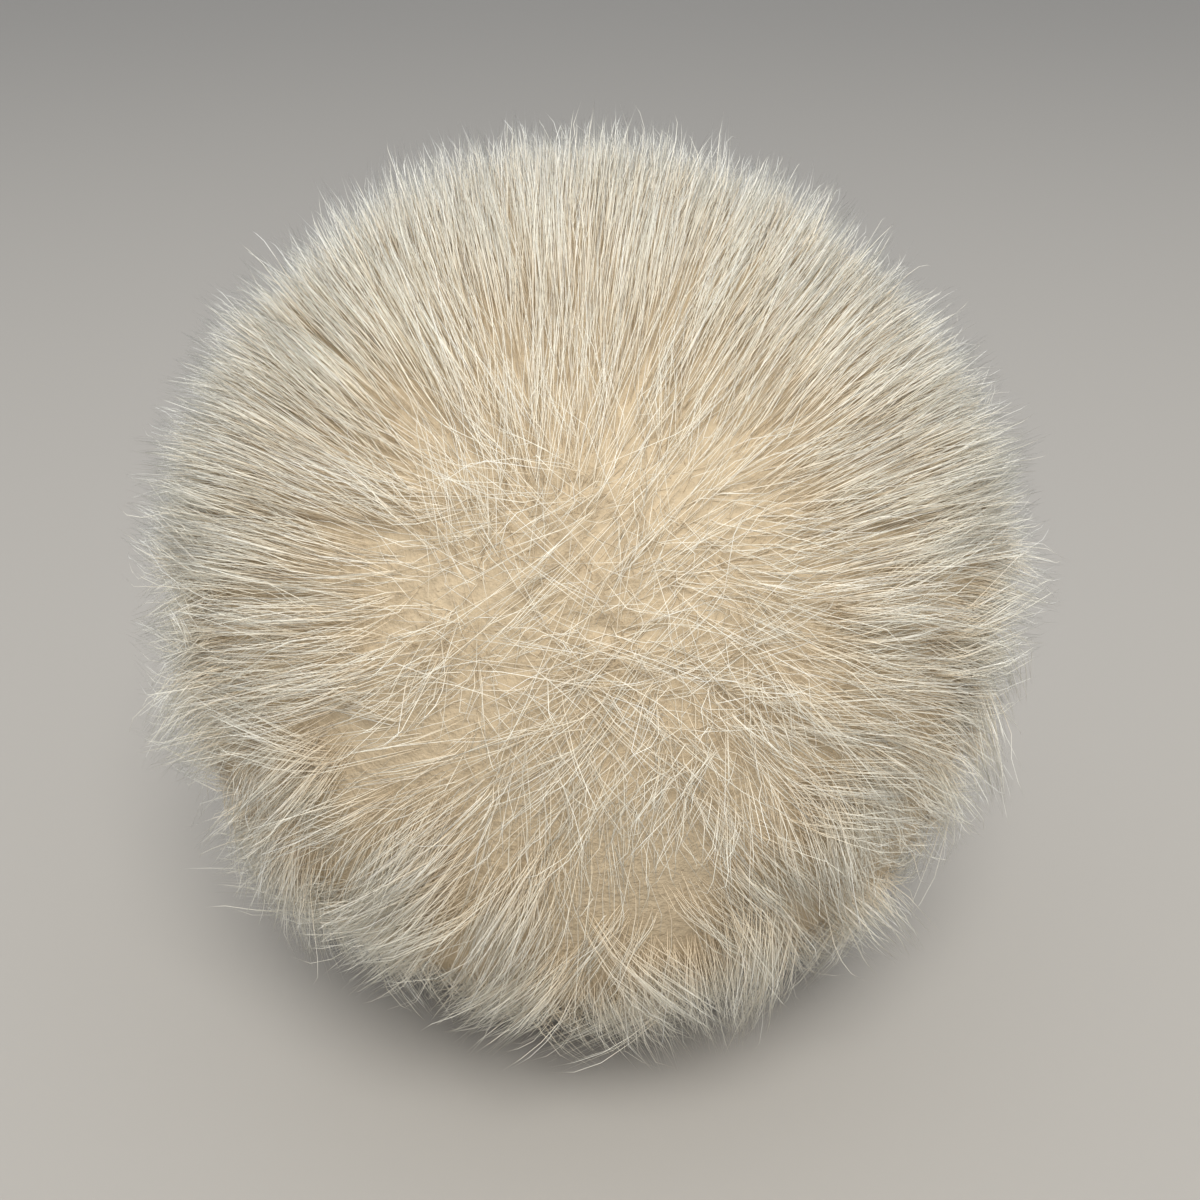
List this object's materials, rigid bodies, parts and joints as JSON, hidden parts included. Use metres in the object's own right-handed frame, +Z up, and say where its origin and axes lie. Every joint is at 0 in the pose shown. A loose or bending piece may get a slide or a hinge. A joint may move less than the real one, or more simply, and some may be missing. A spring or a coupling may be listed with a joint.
{
  "type": "faux fur pom pom",
  "caption": "Round long-pile faux fur pom pom with a small settled flat spot, for trimming hats, bags or cushions.",
  "frame": {"origin": "middle of the flat spot on which the ball rests, under the middle of its bounding box", "axes": "+Z up from the surface it rests on; -Y towards the front, where the pile parts round a tousled crown"},
  "size_m": [0.13, 0.13, 0.1265],
  "materials": {
    "fur": "soft cream long-pile faux fur with a slight sheen on the tips"
  },
  "bodies": {
    "root": {"fur_ball": "fur"}
  },
  "joints": []
}
